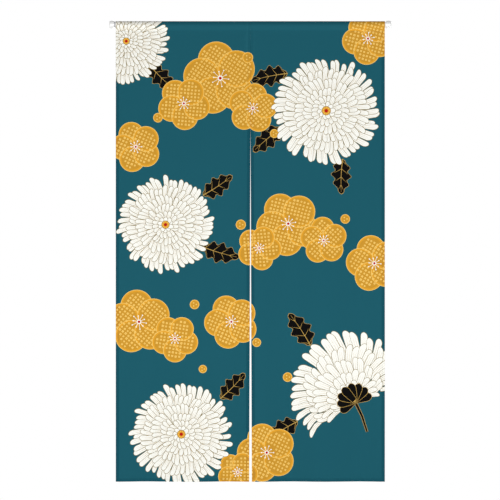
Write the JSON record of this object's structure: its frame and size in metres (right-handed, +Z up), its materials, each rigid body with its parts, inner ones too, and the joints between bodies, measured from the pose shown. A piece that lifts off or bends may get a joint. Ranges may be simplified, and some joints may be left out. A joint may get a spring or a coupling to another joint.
{
  "type": "noren curtain on a tension rod",
  "caption": "Doorway curtain of two long printed cloth panels, seamed at the top and slit below, on a plain round tension rod through its sleeve.",
  "frame": {"origin": "middle of the rod's axis", "axes": "+Z up, +X along the rod to the right of someone who faces the print, -Y towards that person"},
  "size_m": [0.89, 0.024, 1.4563],
  "materials": {
    "cloth": "matt printed plain weave, teal ground",
    "rod": "white coated steel tube, satin",
    "cap": "white moulded plastic, satin"
  },
  "bodies": {
    "root": {"panel_left": "cloth", "panel_right": "cloth", "rod": "rod", "rod_cap_left": "cap", "rod_cap_right": "cap"}
  },
  "joints": []
}
